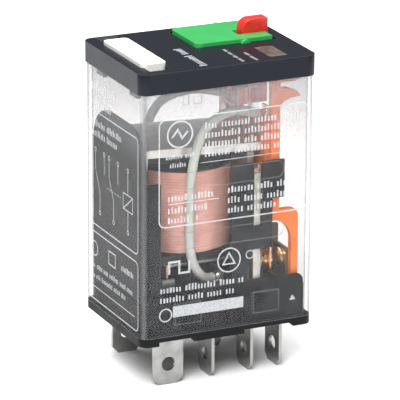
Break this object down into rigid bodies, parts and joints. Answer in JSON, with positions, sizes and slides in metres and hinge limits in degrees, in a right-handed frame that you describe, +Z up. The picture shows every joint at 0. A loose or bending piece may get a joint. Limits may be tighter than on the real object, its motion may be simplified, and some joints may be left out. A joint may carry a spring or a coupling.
{
  "type": "plug-in power relay",
  "caption": "Plug-in changeover relay with blade terminals, clear case, legend tag, lock-down door and a test button that moves the armature and contacts.",
  "frame": {"origin": "centre of the base's underside, the face that rests on the socket", "axes": "+Z up out of the cap; +X along the wide printed side towards the contact end; the wide printed side seen in the picture faces -Y; the coil end is at -X"},
  "size_m": [0.028, 0.0216, 0.051],
  "materials": {
    "base": "black glass-filled polyamide",
    "clear_case": "clear polycarbonate with grey and white print",
    "top_cap": "black moulded polycarbonate",
    "window_lens": "tinted clear polycarbonate",
    "id_tag": "white writable plastic",
    "lock_door": "translucent green plastic",
    "test_button": "red moulded plastic",
    "coil_terminal_front": "tin-plated brass",
    "coil_terminal_rear": "tin-plated brass",
    "common_terminal_front": "tin-plated brass",
    "common_terminal_rear": "tin-plated brass",
    "nc_terminal_front": "tin-plated brass",
    "nc_terminal_rear": "tin-plated brass",
    "no_terminal_front": "tin-plated brass",
    "no_terminal_rear": "tin-plated brass",
    "nc_contacts": "silver alloy",
    "no_contacts": "silver alloy",
    "moving_contacts": "silver alloy",
    "moving_spring_front": "copper spring alloy",
    "moving_spring_rear": "copper spring alloy",
    "spring_rivets": "steel rivets",
    "contact_carrier": "orange moulded plastic",
    "armature": "nickel-plated soft iron",
    "yoke": "zinc-plated soft iron",
    "core": "soft iron",
    "shading_ring": "bare copper",
    "bobbin": "dark moulded plastic",
    "coil_winding": "enamelled copper wire",
    "coil_tape": "salmon-pink tape",
    "coil_wires": "bare copper",
    "coil_shield": "dark moulded plastic",
    "arc_shield_front": "dark moulded plastic",
    "arc_shield_rear": "dark moulded plastic",
    "pole_barrier": "brown laminate",
    "return_spring": "spring steel",
    "lead_front": "pale grey sleeve over braid",
    "lead_rear": "pale grey sleeve over braid"
  },
  "bodies": {
    "housing": {"base": "base", "clear_case": "clear_case", "top_cap": "top_cap", "window_lens": "window_lens", "coil_terminal_front": "coil_terminal_front", "coil_terminal_rear": "coil_terminal_rear", "common_terminal_front": "common_terminal_front", "common_terminal_rear": "common_terminal_rear", "nc_terminal_front": "nc_terminal_front", "nc_terminal_rear": "nc_terminal_rear", "no_terminal_front": "no_terminal_front", "no_terminal_rear": "no_terminal_rear", "nc_contacts": "nc_contacts", "no_contacts": "no_contacts", "yoke": "yoke", "core": "core", "shading_ring": "shading_ring", "bobbin": "bobbin", "coil_winding": "coil_winding", "coil_tape": "coil_tape", "coil_wires": "coil_wires", "coil_shield": "coil_shield", "arc_shield_front": "arc_shield_front", "arc_shield_rear": "arc_shield_rear", "pole_barrier": "pole_barrier", "return_spring": "return_spring", "lead_front": "lead_front", "lead_rear": "lead_rear"},
    "armature_group": {"armature": "armature", "contact_carrier": "contact_carrier", "moving_spring_front": "moving_spring_front", "moving_spring_rear": "moving_spring_rear", "moving_contacts": "moving_contacts", "spring_rivets": "spring_rivets"},
    "button": {"test_button": "test_button"},
    "door": {"lock_door": "lock_door"},
    "tag": {"id_tag": "id_tag"}
  },
  "joints": [
    {"name": "button_press", "type": "slide", "parent": "housing", "child": "button", "axis": [0, 0, -1], "range_m": [0, 0.0014], "stiffness_N_per_m": 250},
    {"name": "armature_pull", "type": "hinge", "parent": "housing", "child": "armature_group", "pos_m": [0.0052, 0, 0.0266], "axis": [0, -1, 0], "range_deg": [0, 2.8], "deforming": ["return_spring", "lead_front", "lead_rear"]},
    {"name": "door_swing", "type": "hinge", "parent": "housing", "child": "door", "pos_m": [0.0071, 0, 0.0411], "axis": [0, 1, 0], "range_deg": [0, 90]},
    {"name": "tag_lift", "type": "slide", "parent": "housing", "child": "tag", "axis": [0, 0, 1], "range_m": [0, 0.003]}
  ],
  "couplings": [
    {"joint": "armature_pull", "follows": "button_press", "rad_per_m": 34.9}
  ]
}
